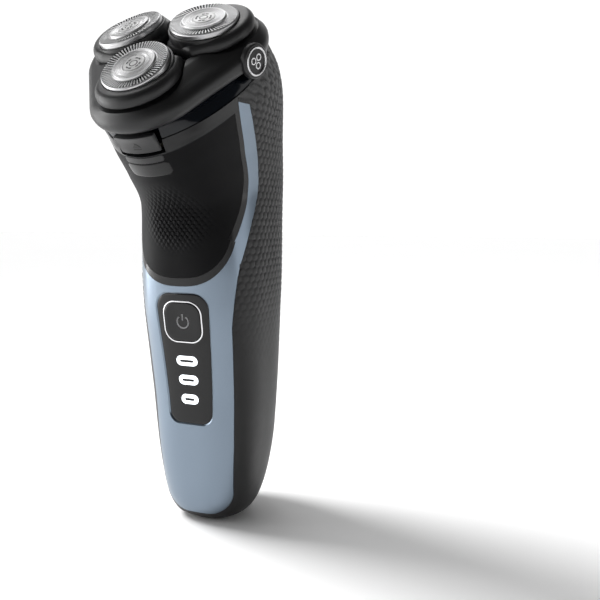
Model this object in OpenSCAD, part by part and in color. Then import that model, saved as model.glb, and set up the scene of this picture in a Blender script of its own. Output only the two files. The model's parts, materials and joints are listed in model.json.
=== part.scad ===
// Cordless rotary shaver with three flexing shaving heads on a tilted, hinged head,
// a pop-up trimmer on its back and a lithium cell, motor and gear train inside.
// Millimetres. +Z is up, the front faces -Y, and the origin is the centre of the flat base.

/* [Handle] */
// Wall thickness of the moulded shells
wall = 2; // [1.6:0.1:2.4]
// Points around each cross-section of the handle
section_points = 40; // [24:4:56]
// Height of the centre of the power button
button_z = 68.5; // [66:0.5:70]
// Width of the power button
button_w = 12.7; // [11:0.1:13.5]

/* [Head] */
// Forward tilt of the shaving plane
head_tilt = 42; // [40:0.5:44]
// Distance of each cap's centre from the head's centre
cap_ring_r = 14.7; // [14.5:0.1:15]
// Diameter of a shaving cap
cap_d = 20.4; // [20:0.1:20.6]
// Outward lean of each cap
cap_lean = 7; // [5:0.5:8]
// Gap between neighbouring cap holders
holder_gap = 2; // [1.6:0.1:2.4]

/* [Drive] */
// Gear module
gear_module = 0.5; // [0.5]
// Teeth on the motor pinion
pinion_teeth = 14; // [14]
// Teeth on each drive gear
gear_teeth = 42; // [42]
// Diameter of the motor
motor_d = 20; // [18:1:20]
// Length of the motor
motor_l = 26; // [22:1:28]

/* [Battery] */
// Diameter of the cell
cell_d = 14.2; // [13:0.1:14.5]
// Length of the cell
cell_l = 50; // [44:1:52]

/* [Hidden] */
$fn = 48;

// Cross-sections of the handle from the base to the drive deck. Each lies in the plane through its
// front point and its rear point: [front y, front z, rear y, rear z, half width,
// place of the widest point from 0 (front) to 1 (rear), front roundness, rear roundness].
stations = [
    [-7, 0, 9, 0, 9, 0.5, 2.3, 2.3],
    [-10, 2.2, 14, 1.8, 12.6, 0.5, 2.5, 2.3],
    [-11.8, 8, 18.5, 6, 15.2, 0.45, 2.7, 2.4],
    [-12.9, 17, 22.5, 14.5, 16.8, 0.45, 2.9, 2.6],
    [-13.5, 28, 24.3, 27, 18.2, 0.45, 3, 2.8],
    [-13.9, 41, 24.8, 41, 19.3, 0.45, 3, 2.8],
    [-15.3, 54.3, 25.6, 54, 20, 0.45, 3, 2.8],
    [-17.5, 68.5, 27, 69, 20.4, 0.45, 3, 2.8],
    [-19.3, 81, 28.6, 84, 20.6, 0.45, 2.8, 2.8],
    [-21.2, 93, 29.5, 100, 20.5, 0.47, 2.5, 2.8],
    [-23.2, 103.5, 29.8, 116, 20.7, 0.5, 2.2, 2.8],
    [-31, 111.8, 28.8, 132, 22, 0.52, 2, 2.6],
    [-36.5, 117, 25.5, 146, 24, 0.54, 1.9, 2.5],
    [-39, 120, 17, 156.2, 25.8, 0.56, 1.8, 2.4],
    [-39.4, 121.2, 6, 162, 26.4, 0.56, 1.75, 2.4]];

// Centre of the shaving plane, and levels along the head's own axis, measured from that plane.
head_y = -28.8;
head_z = 152.9;
cap_r = cap_d / 2;
holder_top = -2.2;
holder_bottom = -5.4;
housing_top = -6.4;
housing_bottom = -12.5;
deck_top = -13;
deck_bottom = -16.46;
head_hinge_v = 26.5;
head_hinge_n = -14.6;
hinge_knuckle_r = 1.6;
hinge_pin_r = 0.8;
running_gap = 0.05;
badge_v = 0.5;
badge_angle = 20;
badge_n = -10.8;
head_angles = [-90, 30, 150];
gear_r = gear_module * gear_teeth / 2;
drive_r = gear_module * (gear_teeth + pinion_teeth) / 2;
tooth_thinning = 6.6;
gear_top = -19.6;
gear_bottom = -21.6;
spindle_tip = -3.2;

// Outline of the front panel seen from the front, and edges of its side arms seen from the side.
panel_bottom = 3;
panel_half_w = [[12.9, 12], [14, 27], [15.6, 67], [17.6, 88], [17.6, 97]];
arm_front_edge = [[-13.9, 93.6], [-11.4, 99], [-9.2, 105], [-8.8, 109], [-9.8, 114], [-13.9, 121.5],
    [-16.8, 126], [-22.6, 134]];
arm_rear_edge = [[-17.2, 134], [-12.7, 129], [-7.4, 121.5], [-4.6, 114.5], [-3.9, 110], [-5, 105],
    [-7.3, 99], [-12, 87]];
chin_z = 80;
chin_top = 100;
chin_half_w = 17.3;
window_z = [34.6, 77.6];
light_z = [42.7, 49.2, 55.6];
light_w = [6.2, 7, 7.6];
board_y = -8;

// Trimmer on the back: its well runs up the rear shell from trimmer_z.
trimmer_z = [78, 112];
trimmer_w = 22;
trimmer_hinge = [24.6, 82];

// ---------- Handle sections ----------

function spow(v, e) = sign(v) * pow(abs(v), e);

// Point of a station at angle t, with its outline moved in by inset.
function station_point(s, t, inset) =
    let (
        span = norm([s[2] - s[0], s[3] - s[1]]),
        along = [(s[2] - s[0]) / span, (s[3] - s[1]) / span],
        mid = span * s[5],
        e = 2 / (sin(t) < 0 ? s[6] : s[7]),
        reach = (sin(t) < 0 ? mid : span - mid) - inset,
        d = mid + reach * spow(sin(t), e)
    ) [(s[4] - inset) * spow(cos(t), e), s[0] + along[0] * d, s[1] + along[1] * d];

function station_ring(s, inset) =
    [for (i = [0:section_points - 1]) station_point(s, 360 * (i + 0.5) / section_points, inset)];

// Solid of the handle between two stations, with its outline moved in by inset.
module handle_body(inset = 0, first = 0, last = 14) {
    count = section_points;
    rings = last - first;
    polyhedron(
        points = [for (i = [first:last]) each station_ring(stations[i], inset)],
        faces = concat(
            [[for (k = [0:count - 1]) k]],
            [for (i = [0:rings - 1], k = [0:count - 1])
                let (a = i * count + k, b = i * count + (k + 1) % count)
                each [[a, a + count, b], [b, a + count, b + count]]],
            [[for (k = [0:count - 1]) rings * count + count - 1 - k]]));
}

module shell_wall() {
    difference() {
        handle_body();
        handle_body(wall, 1, 13);
    }
}

// Extrudes a drawing of the front view, in X and Z, from the mid-plane forwards.
module from_front(depth = 60) {
    rotate([90, 0, 0])
        linear_extrude(height = depth)
            children();
}

// Extrudes a drawing of the side view, in Y and Z, across the whole width.
module from_side(width = 80) {
    rotate([90, 0, 90])
        linear_extrude(height = width, center = true)
            children();
}

module mirrored_outline(points) {
    polygon(concat(points, [for (i = [len(points) - 1:-1:0]) [-points[i][0], points[i][1]]]));
}

function chin_w(z, inset) =
    (chin_half_w - inset * 0.4) * pow(max(0, 1 - pow((chin_top - z) / (chin_top - chin_z - inset), 2.6)), 1 / 2.6);

module chin_outline(inset) {
    bottom = chin_z + inset;
    steps = 14;
    side = [for (i = [0:steps]) let (z = bottom + (chin_top - bottom) * pow(i / steps, 2)) [chin_w(z, inset), z]];
    mirrored_outline(side);
}

// Everything above the chin and in front of the arms.
module neck_zone(inset = 0) {
    from_front()
        intersection() {
            chin_outline(inset);
            translate([-40, chin_z]) square([80, 15]);
        }
    from_side()
        polygon(concat([[-60, 93.6 + inset]], [for (p = arm_front_edge) p - [inset / 2.4, 0]],
            [[-27 - inset / 2.4, 140], [-60, 140]]));
}

module panel_outline() {
    corner = 9;
    arc = [for (a = [-90:15:0]) [panel_half_w[0][0] - corner + corner * cos(a), panel_bottom + corner + corner * sin(a)]];
    mirrored_outline(concat(arc, panel_half_w));
}

module panel_zone() {
    difference() {
        union() {
            from_front() panel_outline();
            from_side() polygon(concat([[-18, 87], [-16, 93.6]], arm_front_edge, arm_rear_edge));
        }
        neck_zone();
    }
}

module window_outline(grow = 0) {
    low = window_z[0];
    high = window_z[1];
    hull() {
        for (side = [-1, 1]) {
            translate([side * 4.2, low + 3.6]) circle(r = 3.6 + grow, $fn = 32);
            translate([side * 4.4, high - 5]) circle(r = 5 + grow, $fn = 32);
        }
    }
}

module button_outline(grow = 0) {
    corner = 3.6;
    half_w = button_w / 2 - corner;
    half_h = button_w / 2 - corner - 0.2;
    translate([0, button_z])
        hull()
            for (x = [-half_w, half_w], z = [-half_h, half_h])
                translate([x, z]) circle(r = corner + grow, $fn = 32);
}

module light_outline(index, grow = 0) {
    half = light_w[index] / 2 - 1.6;
    translate([0, light_z[index]])
        hull()
            for (x = [-half, half]) translate([x, 0]) circle(r = 1.6 + grow, $fn = 24);
}

// ---------- Head frame and its shapes ----------

module in_head() {
    translate([0, head_y, head_z]) rotate([head_tilt, 0, 0]) children();
}

module in_cap(k) {
    in_head()
        rotate([0, 0, head_angles[k]])
            translate([cap_ring_r, 0, 0])
                rotate([0, cap_lean, 0])
                    children();
}

module at_drive(k) {
    in_head()
        rotate([0, 0, head_angles[k]])
            translate([drive_r, 0, 0])
                children();
}

// Three round lobes joined into one outline; levels is a list of [height, lobe distance, lobe radius].
module lobed(levels) {
    hull()
        for (level = levels, a = head_angles)
            rotate([0, 0, a])
                translate([level[1], 0, level[0]])
                    cylinder(r = level[2], h = 0.05, $fn = 32);
}

// The same outline with straight walls, from the level bottom to the level top.
module lobed_plate(bottom, top, distance, radius) {
    translate([0, 0, bottom])
        linear_extrude(height = top - bottom)
            hull()
                for (a = head_angles)
                    rotate(a) translate([distance, 0]) circle(r = radius, $fn = 32);
}

// ---------- Handle shells ----------

// Room inside the top of the handle: the gear room, the spindle holes, the release button's notch
// and the pocket of its spring.
module head_end_room() {
    in_head() {
        lobed_plate(-27, deck_bottom - 1.8, 11.5, 14);
        for (a = head_angles)
            rotate([0, 0, a]) translate([drive_r, 0, -20]) cylinder(r = 3.4, h = 6);
        translate([-7.4, -40, -20.2]) cube([14.8, 14, 8]);
        translate([-3.3, -27, -18.4]) cube([6.6, 3.4, 6]);
    }
}

module rear_shell() {
    color([0.16, 0.16, 0.17])
        difference() {
            shell_wall();
            panel_zone();
            neck_zone();
            inlet_space(0.15);
            trimmer_space(0.15);
            translate([-2.3, 20, 61.5]) cube([4.6, 10, 10.5]);
            head_end_room();
        }
}

module front_panel() {
    color([0.43, 0.53, 0.64])
        difference() {
            intersection() {
                shell_wall();
                panel_zone();
            }
            from_front() window_outline(0.1);
            head_end_room();
        }
}

module chin_bezel() {
    color([0.03, 0.03, 0.035])
        difference() {
            intersection() {
                shell_wall();
                neck_zone();
            }
            neck_zone(2.6);
            head_end_room();
        }
}

module neck_grip() {
    color([0.13, 0.13, 0.135])
        difference() {
            intersection() {
                shell_wall();
                neck_zone(2.6);
            }
            head_end_room();
        }
}

// ---------- Controls ----------

module control_window() {
    color([0.02, 0.02, 0.025])
        difference() {
            intersection() {
                handle_body(0.15, 3, 9);
                from_front() window_outline();
            }
            handle_body(1.75, 2, 10);
            from_front() button_outline(0.78);
            for (i = [0:2]) from_front() light_outline(i, 0.1);
        }
}

module button_ring() {
    color([0.75, 0.75, 0.76])
        difference() {
            intersection() {
                handle_body(0, 6, 9);
                from_front() button_outline(0.7);
            }
            handle_body(1.7, 6, 9);
            from_front() button_outline(0.25);
        }
}

module power_button() {
    color([0.03, 0.03, 0.035])
        difference() {
            intersection() {
                translate([0, -0.2, 0]) handle_body(0, 6, 9);
                from_front() button_outline();
            }
            translate([0, 0.6, 0]) handle_body(1.7, 6, 9);
        }
}

module light_guides() {
    color([0.95, 0.95, 0.95])
        difference() {
            intersection() {
                handle_body(0.1, 3, 9);
                union() for (i = [0:2]) from_front() light_outline(i);
            }
            translate([-10, board_y - 1.4, 30]) cube([20, 20, 40]);
        }
}

module circuit_board() {
    color([0.05, 0.3, 0.15])
        difference() {
            translate([-11, board_y, 32]) cube([22, 1.6, 56]);
            for (z = [35, 85])
                translate([0, board_y - 1, z]) rotate([-90, 0, 0]) cylinder(r = 1.2, h = 4);
        }
}

module power_switch() {
    color([0.2, 0.2, 0.2]) {
        translate([-3, board_y - 3.4, button_z - 3]) cube([6, 3.4, 6]);
        translate([0, board_y - 3.4, button_z]) rotate([90, 0, 0]) cylinder(r = 1.6, h = 1.6);
    }
}

module indicator_leds() {
    color([0.9, 0.9, 0.8])
        for (z = light_z)
            translate([-1.5, board_y - 1.2, z - 0.8]) cube([3, 1.2, 1.6]);
}

// ---------- Frame and power ----------

module inner_frame() {
    color([0.25, 0.25, 0.27])
        difference() {
            union() {
                translate([-13, board_y + 3, 25]) cube([26, 1.8, 72]);
                for (side = [-1, 1])
                    translate([side * 12 - 1, board_y + 3, 25]) cube([2, 20, 72]);
                for (z = [35, 85])
                    translate([0, board_y + 1.6, z]) rotate([-90, 0, 0]) cylinder(r = 2.6, h = 2);
            }
            for (z = [35, 85])
                translate([0, board_y, z]) rotate([-90, 0, 0]) cylinder(r = 0.9, h = 6);
            for (side = [-1, 1])
                translate([side * 12 - 2, board_y + 7, 34]) cube([4, 12, 14]);
        }
}

module frame_screws() {
    color([0.7, 0.7, 0.72])
        for (z = [35, 85]) {
            translate([0, board_y - 1.1, z]) rotate([-90, 0, 0]) cylinder(r = 1.9, h = 1.1);
            translate([0, board_y - 0.1, z]) rotate([-90, 0, 0]) cylinder(r = 0.88, h = 4.4);
        }
}

module battery_cell() {
    color([0.2, 0.55, 0.3]) {
        translate([0, 6, 30]) cylinder(d = cell_d, h = cell_l);
        translate([0, 6, 30 + cell_l]) cylinder(r = 2.6, h = 0.8);
    }
}

module battery_tabs() {
    color([0.8, 0.78, 0.7]) {
        translate([-3, 0, 29.6]) cube([6, 10, 0.4]);
        translate([-3, 0, 30.8 + cell_l]) cube([6, 10, 0.4]);
    }
}

// Cavity of the charging socket: it opens through the lower back of the rear shell.
module inlet_space(grow = 0) {
    translate([-5 - grow, 13, 9 - grow]) cube([10 + 2 * grow, 12, 6.2 + 2 * grow]);
}

module charge_inlet() {
    color([0.05, 0.05, 0.05])
        difference() {
            translate([-7, 5, 7.6]) cube([14, 9.6, 9.2]);
            translate([-5, 8, 9]) cube([10, 12, 6.2]);
            for (x = [-2.4, 2.4])
                translate([x, 4, 12.1]) rotate([-90, 0, 0]) cylinder(r = 0.6, h = 6);
        }
}

module inlet_pins() {
    color([0.85, 0.8, 0.6])
        for (x = [-2.4, 2.4])
            translate([x, 4, 12.1]) rotate([-90, 0, 0]) cylinder(r = 0.6, h = 8);
}

// ---------- Drive ----------

// Involute of a circle of radius base, at the radius r.
function involute_angle(base, r) =
    let (roll = sqrt(max(0, pow(r / base, 2) - 1))) roll * 180 / PI - atan(roll);

// Turn of drive gear k that puts a tooth gap where it meets a tooth of the pinion.
function gear_phase(k) =
    let (p = head_angles[k] * pinion_teeth / 360) (p - floor(p) - 0.5) * 360 / gear_teeth;

module gear_outline(teeth, shift = 0) {
    pitch = gear_module * teeth / 2;
    base = pitch * cos(20);
    root = pitch - 1.2 * gear_module;
    tip = pitch + 0.9 * gear_module;
    half = (90 - tooth_thinning) / teeth + involute_angle(base, pitch);
    low = max(base, root);
    flank = [for (i = [0:3]) low + (tip - low) * i / 3];
    polygon([for (t = [0:teeth - 1]) each
        let (mid = 360 * t / teeth + shift) concat(
            [[root * cos(mid - half), root * sin(mid - half)]],
            [for (r = flank) let (a = mid - half + involute_angle(base, r)) [r * cos(a), r * sin(a)]],
            [for (i = [3:-1:0]) let (r = flank[i], a = mid + half - involute_angle(base, r)) [r * cos(a), r * sin(a)]],
            [[root * cos(mid + half), root * sin(mid + half)]])]);
}

module drive_gear(k) {
    color([0.9, 0.88, 0.8])
        at_drive(k)
            difference() {
                union() {
                    translate([0, 0, gear_bottom])
                        linear_extrude(height = gear_top - gear_bottom) gear_outline(gear_teeth, gear_phase(k));
                    translate([0, 0, gear_top]) cylinder(r = 2.6, h = 1.4);
                }
                translate([0, 0, gear_bottom - 1]) cylinder(r = 1.05, h = 6);
            }
}

module drive_spindle(k) {
    color([0.3, 0.3, 0.33])
        at_drive(k) {
            translate([0, 0, gear_top + 1.4]) cylinder(r = 2.4, h = 0.8);
            translate([0, 0, gear_top + 2.2]) cylinder(r = 1.5, h = spindle_tip - gear_top - 2.2);
        }
}

module motor() {
    color([0.7, 0.71, 0.72])
        in_head() {
            translate([0, 0, -24.1 - motor_l]) cylinder(d = motor_d, h = motor_l);
            translate([0, 0, -26.1 - motor_l]) cylinder(r = 3, h = 2);
        }
}

module motor_pinion() {
    color([0.8, 0.7, 0.4])
        in_head() {
            translate([0, 0, gear_bottom - 0.2])
                linear_extrude(height = gear_top - gear_bottom + 0.4) gear_outline(pinion_teeth);
            translate([0, 0, -24.1]) cylinder(r = 1, h = 24.1 + gear_bottom - 0.2);
        }
}

module gear_plate() {
    color([0.35, 0.35, 0.37])
        in_head()
            difference() {
                lobed_plate(-24, -22.4, 10.5, 10);
                translate([0, 0, -25]) cylinder(r = 1.4, h = 4);
                for (a = head_angles)
                    rotate([0, 0, a]) translate([drive_r, 0, -25]) cylinder(r = 1, h = 4);
            }
}

module gear_axles() {
    color([0.75, 0.75, 0.76])
        for (k = [0:2])
            at_drive(k) translate([0, 0, -24]) cylinder(r = 1, h = 4.8);
}

module spindle_seals() {
    color([0.1, 0.1, 0.1])
        for (k = [0:2])
            at_drive(k)
                difference() {
                    translate([0, 0, deck_top - 1.6]) cylinder(r = 3.2, h = 1.6);
                    translate([0, 0, deck_top - 2]) cylinder(r = 1.56, h = 3);
                }
}

module drive_deck() {
    color([0.03, 0.035, 0.05])
        in_head()
            difference() {
                union() {
                    lobed_plate(deck_bottom, deck_top, 12, 17);
                    for (side = [-1, 1]) {
                        translate([side * 9 - 2, 20, deck_bottom]) cube([4, head_hinge_v - 20, deck_top - deck_bottom]);
                        translate([side * 9 - 2, head_hinge_v, head_hinge_n])
                            rotate([0, 90, 0]) cylinder(r = hinge_knuckle_r, h = 4);
                    }
                }
                for (a = head_angles)
                    rotate([0, 0, a]) translate([drive_r, 0, 0]) {
                        translate([0, 0, deck_bottom - 1]) cylinder(r = 2, h = 5);
                        translate([0, 0, deck_top - 1.6]) cylinder(r = 3.2, h = 3);
                    }
                translate([-20, head_hinge_v, head_hinge_n]) rotate([0, 90, 0]) cylinder(r = hinge_pin_r + running_gap, h = 40);
                translate([-7.2, -40, deck_bottom - 1]) cube([14.4, 16.4, 6]);
            }
}

module head_hinge_pin() {
    color([0.75, 0.75, 0.76])
        in_head() translate([-12, head_hinge_v, head_hinge_n]) rotate([0, 90, 0]) cylinder(r = hinge_pin_r, h = 24);
}

// ---------- Head release ----------

module release_button() {
    color([0.3, 0.3, 0.31])
        in_head() {
            intersection() {
                lobed([[-19.4, 13, 16.6], [-13.4, 13, 17.6]]);
                translate([-6.6, -40, -19.4]) cube([13.2, 12.6, 5.8]);
            }
            translate([-3, -27.6, -17.6]) cube([6, 1.8, 2.4]);
        }
}

module release_spring() {
    color([0.75, 0.75, 0.76])
        in_head() translate([0, -25.8, -16.4]) rotate([-90, 0, 0])
            difference() {
                cylinder(r = 1.2, h = 1.2);
                translate([0, 0, -1]) cylinder(r = 0.8, h = 4);
            }
}

// ---------- Shaving head ----------

module head_housing() {
    color([0.15, 0.15, 0.155])
        in_head()
            difference() {
                union() {
                    housing_body();
                    translate([-6.8, 24.9, head_hinge_n]) cube([13.6, 2.5, 4.2]);
                    translate([-6.8, 22.8, housing_bottom + 0.2]) cube([13.6, 4.6, 1.9]);
                    translate([-6.8, head_hinge_v, head_hinge_n])
                        rotate([0, 90, 0]) cylinder(r = hinge_knuckle_r, h = 13.6);
                    at_badge() cylinder(r = 4.9, h = 1.6);
                }
                lobed([[housing_bottom - 1, 13, 15.2], [housing_top - 1.6, 13, 14.8]]);
                for (k = [0:2])
                    rotate([0, 0, head_angles[k]]) translate([cap_ring_r, 0, 0]) rotate([0, cap_lean, 0])
                        translate([0, 0, -12]) cylinder(r = 11, h = 12);
                translate([-20, head_hinge_v, head_hinge_n]) rotate([0, 90, 0]) cylinder(r = hinge_pin_r + running_gap, h = 40);
                at_badge() translate([0, 0, 0.6]) cylinder(r = 4.05, h = 6);
            }
}

// Outside of the housing, with a sloping shoulder between each two cap holders.
module housing_body() {
    difference() {
        lobed([[housing_bottom, 13, 16.6], [housing_bottom + 1.5, 13, 17.8], [housing_bottom + 3.2, 13, 18.1],
            [housing_top - 1, 13, 16.6], [housing_top - 0.05, 16.5, 12.5], [housing_top + 1, 20, 8.5],
            [housing_top + 1.95, 24, 4]]);
        translate([0, 0, housing_top])
            linear_extrude(height = 4) {
                circle(r = 14.2);
                for (a = head_angles) rotate(a) holder_outline(0.6);
            }
    }
}

// Outline of one cap holder, with its lobe pointing along +X.
module holder_outline(grow = 0) {
    corner_r = 1.4;
    reach = 12.8;
    inside = holder_gap / 2 + corner_r;
    hull() {
        translate([16, 0]) circle(r = 12.6 + grow, $fn = 64);
        for (side = [-1, 1])
            translate([reach * cos(60) + inside * sin(60), side * (reach * sin(60) - inside * cos(60))])
                circle(r = corner_r + grow, $fn = 24);
        translate([2.6, 0]) circle(r = 0.6 + max(grow, -0.5), $fn = 24);
    }
}

// Places the badge's axis on the right side of the housing, pointing outwards.
module at_badge() {
    translate([27, badge_v, badge_n])
        rotate([0, 0, -badge_angle])
            rotate([0, 90, 0])
                children();
}

module cap_holder(k) {
    color([0.14, 0.14, 0.145])
        in_head()
            difference() {
                union() {
                    rotate([0, 0, head_angles[k]]) {
                        translate([0, 0, holder_bottom]) linear_extrude(height = 2) holder_outline();
                        translate([0, 0, holder_bottom + 2]) linear_extrude(height = 0.7) holder_outline(-0.5);
                        translate([0, 0, holder_bottom + 2.7])
                            linear_extrude(height = holder_top - holder_bottom - 2.7) holder_outline(-1.2);
                    }
                    rotate([0, 0, head_angles[k]]) translate([cap_ring_r, 0, 0]) rotate([0, cap_lean, 0])
                        translate([0, 0, -7.6]) cylinder(r = 10.3, h = 2.6);
                }
                rotate([0, 0, head_angles[k]]) translate([cap_ring_r, 0, 0]) rotate([0, cap_lean, 0]) {
                    translate([0, 0, -3.9]) cylinder(r = cap_r + 0.05, h = 6);
                    translate([0, 0, -9]) cylinder(r = 9.3, h = 9);
                }
            }
}

// A cap is a thin bright cup: slotted outer track, groove, inner track and centre disc.
module shaving_cap(k) {
    color([0.8, 0.8, 0.81])
        in_cap(k)
            rotate_extrude()
                polygon([[0, 0.1], [3, 0.1], [3.3, -0.35], [3.7, -0.1], [6.2, -0.1], [6.5, -0.45], [6.9, -0.45],
                    [7.2, 0], [9.7, 0], [cap_r, -0.5], [cap_r, -3.9], [9.6, -3.9], [9.6, -0.75], [7, -0.75],
                    [6.9, -1], [3.9, -1], [3.6, -1.4], [0, -1.4]]);
}

module cutter(k) {
    blades = 9;
    color([0.6, 0.6, 0.62])
        in_cap(k)
            difference() {
                union() {
                    translate([0, 0, -3.6]) cylinder(r = 9, h = 0.8);
                    translate([0, 0, -5.2]) cylinder(r = 4, h = 3.2);
                    for (i = [0:blades - 1])
                        rotate([0, 0, 360 * i / blades])
                            translate([7.3, -0.25, -3]) cube([1.7, 0.5, 2.1]);
                }
                translate([0, 0, -6]) cylinder(r = 3, h = 3.3);
            }
}

module retaining_ring(k) {
    color([0.25, 0.25, 0.26])
        in_cap(k)
            difference() {
                translate([0, 0, -5.2]) cylinder(r = 9.28, h = 0.8);
                translate([0, 0, -6]) cylinder(r = 5.5, h = 2);
            }
}

module side_badge() {
    color([0.5, 0.5, 0.5])
        in_head()
            at_badge()
                difference() {
                    translate([0, 0, 0.6]) cylinder(r = 4, h = 1.3);
                    translate([0, 0, 1.6]) cylinder(r = 3.3, h = 1);
                }
}

// ---------- Pop-up trimmer ----------

module trimmer_space(grow = 0) {
    translate([-trimmer_w / 2 - grow, 20 - grow, trimmer_z[0] - grow])
        cube([trimmer_w + 2 * grow, 20, trimmer_z[1] - trimmer_z[0] + 2 * grow]);
}

module trimmer_tray() {
    color([0.12, 0.12, 0.125])
        difference() {
            translate([-trimmer_w / 2, 20, trimmer_z[0]]) cube([trimmer_w, 6.3, trimmer_z[1] - trimmer_z[0]]);
            translate([-trimmer_w / 2 + 1.4, 21.4, trimmer_z[0] + 1.4])
                cube([trimmer_w - 2.8, 20, trimmer_z[1] - trimmer_z[0] - 2.8]);
            translate([-20, trimmer_hinge[0], trimmer_hinge[1]]) rotate([0, 90, 0]) cylinder(r = 0.62, h = 40);
        }
}

module trimmer_hinge_pin() {
    color([0.75, 0.75, 0.76])
        translate([-trimmer_w / 2, trimmer_hinge[0], trimmer_hinge[1]]) rotate([0, 90, 0]) cylinder(r = 0.6, h = trimmer_w);
}

module trimmer_arm() {
    color([0.16, 0.16, 0.17])
        difference() {
            union() {
                translate([-9.2, 22.6, trimmer_hinge[1]]) cube([18.4, 3.8, 20]);
                translate([-9.2, trimmer_hinge[0], trimmer_hinge[1]]) rotate([0, 90, 0]) cylinder(r = 1.9, h = 18.4);
            }
            translate([-20, trimmer_hinge[0], trimmer_hinge[1]]) rotate([0, 90, 0]) cylinder(r = 0.66, h = 40);
        }
}

module trimmer_teeth(x0, x1, y, z, thick, length, pitch) {
    for (x = [x0:pitch:x1]) translate([x, y, z]) cube([pitch * 0.5, thick, length]);
}

module trimmer_comb() {
    color([0.8, 0.8, 0.81]) {
        translate([-9, 25.6, 102]) cube([18, 0.6, 2.3]);
        trimmer_teeth(-9, 8.6, 25.6, 104.2, 0.6, 2.2, 0.9);
    }
}

module trimmer_blade() {
    color([0.75, 0.75, 0.76]) {
        translate([-7.5, 24.9, 102.2]) cube([15, 0.5, 2]);
        trimmer_teeth(-7.5, 7, 24.9, 104.1, 0.5, 1.9, 0.9);
    }
}

module trimmer_slider() {
    color([0.2, 0.2, 0.21]) {
        translate([-5, 27.5, 66]) cube([10, 2, 6]);
        translate([-2, 22.4, 67]) cube([4, 5.2, 4]);
        translate([-4, 22.2, 66]) cube([8, 1.2, 6]);
        for (z = [67.2:1.6:71]) translate([-4.4, 29.4, z]) cube([8.8, 0.6, 0.7]);
    }
}

// ---------- Assembly ----------

rear_shell();
front_panel();
chin_bezel();
neck_grip();
control_window();
power_button();
button_ring();
light_guides();
circuit_board();
power_switch();
indicator_leds();
inner_frame();
battery_cell();
battery_tabs();
charge_inlet();
inlet_pins();
frame_screws();
motor();
motor_pinion();
gear_plate();
gear_axles();
drive_gear(0);  // drive_gear_1
drive_gear(1);  // drive_gear_2
drive_gear(2);  // drive_gear_3
drive_spindle(0);  // drive_spindle_1
drive_spindle(1);  // drive_spindle_2
drive_spindle(2);  // drive_spindle_3
spindle_seals();
drive_deck();
head_hinge_pin();
release_button();
release_spring();
head_housing();
cap_holder(0);  // cap_holder_1
cap_holder(1);  // cap_holder_2
cap_holder(2);  // cap_holder_3
shaving_cap(0);  // shaving_cap_1
shaving_cap(1);  // shaving_cap_2
shaving_cap(2);  // shaving_cap_3
cutter(0);  // cutter_1
cutter(1);  // cutter_2
cutter(2);  // cutter_3
retaining_ring(0);  // retaining_ring_1
retaining_ring(1);  // retaining_ring_2
retaining_ring(2);  // retaining_ring_3
side_badge();
trimmer_tray();
trimmer_arm();
trimmer_comb();
trimmer_blade();
trimmer_slider();
trimmer_hinge_pin();
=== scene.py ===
import bpy
import bmesh
import json
import math
import numpy as np
from mathutils import Matrix, Vector
from mathutils.bvhtree import BVHTree


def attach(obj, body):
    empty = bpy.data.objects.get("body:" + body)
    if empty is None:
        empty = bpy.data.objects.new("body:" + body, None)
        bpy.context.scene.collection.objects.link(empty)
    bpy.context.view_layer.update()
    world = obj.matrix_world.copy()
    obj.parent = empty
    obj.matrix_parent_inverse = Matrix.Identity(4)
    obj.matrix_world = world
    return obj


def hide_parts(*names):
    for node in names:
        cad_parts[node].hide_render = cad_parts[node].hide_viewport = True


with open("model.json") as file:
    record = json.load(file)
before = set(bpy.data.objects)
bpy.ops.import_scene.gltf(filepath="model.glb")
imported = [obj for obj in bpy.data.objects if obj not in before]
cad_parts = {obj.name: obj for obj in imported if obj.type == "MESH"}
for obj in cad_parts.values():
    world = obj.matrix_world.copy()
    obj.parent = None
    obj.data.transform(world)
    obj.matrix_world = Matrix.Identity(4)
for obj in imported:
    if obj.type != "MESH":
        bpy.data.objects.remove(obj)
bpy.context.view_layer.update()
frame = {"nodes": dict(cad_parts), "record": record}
MM = 0.001

# ---------- Driving dimensions, in millimetres ----------

# Handle sections: front y, front z, rear y, rear z, half width, widest place, front and rear roundness.
STATIONS = [
    (-7, 0, 9, 0, 9, 0.5, 2.3, 2.3), (-10, 2.2, 14, 1.8, 12.6, 0.5, 2.5, 2.3),
    (-11.8, 8, 18.5, 6, 15.2, 0.45, 2.7, 2.4), (-12.9, 17, 22.5, 14.5, 16.8, 0.45, 2.9, 2.6),
    (-13.5, 28, 24.3, 27, 18.2, 0.45, 3, 2.8), (-13.9, 41, 24.8, 41, 19.3, 0.45, 3, 2.8),
    (-15.3, 54.3, 25.6, 54, 20, 0.45, 3, 2.8), (-17.5, 68.5, 27, 69, 20.4, 0.45, 3, 2.8),
    (-19.3, 81, 28.6, 84, 20.6, 0.45, 2.8, 2.8), (-21.2, 93, 29.5, 100, 20.5, 0.47, 2.5, 2.8),
    (-23.2, 103.5, 29.8, 116, 20.7, 0.5, 2.2, 2.8), (-31, 111.8, 28.8, 132, 22, 0.52, 2, 2.6),
    (-36.5, 117, 25.5, 146, 24, 0.54, 1.9, 2.5), (-39, 120, 17, 156.2, 25.8, 0.56, 1.8, 2.4),
    (-39.4, 121.2, 6, 162, 26.4, 0.56, 1.75, 2.4)]
WALL = 1.9
HEAD_CENTRE = Vector((0, -28.8, 152.9))
HEAD_TILT = math.radians(42)
CAP_RING = 14.7
CAP_R = 10.2
CAP_LEAN = math.radians(7)
LOBE_ANGLES = [math.radians(a) for a in (-90, 30, 150)]
DECK_BOTTOM = -16.46
HOLDER_GAP = 2.0
DRIVE_RING = 14
HINGE_V, HINGE_N = 26.5, -14.6
KNUCKLE_R, HINGE_BORE_R = 1.6, 0.85
BADGE_PLACE = Vector((27, 0.5, -10.8))
BUTTON_Z = 68.5
BUTTON_W = 12.7
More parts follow.
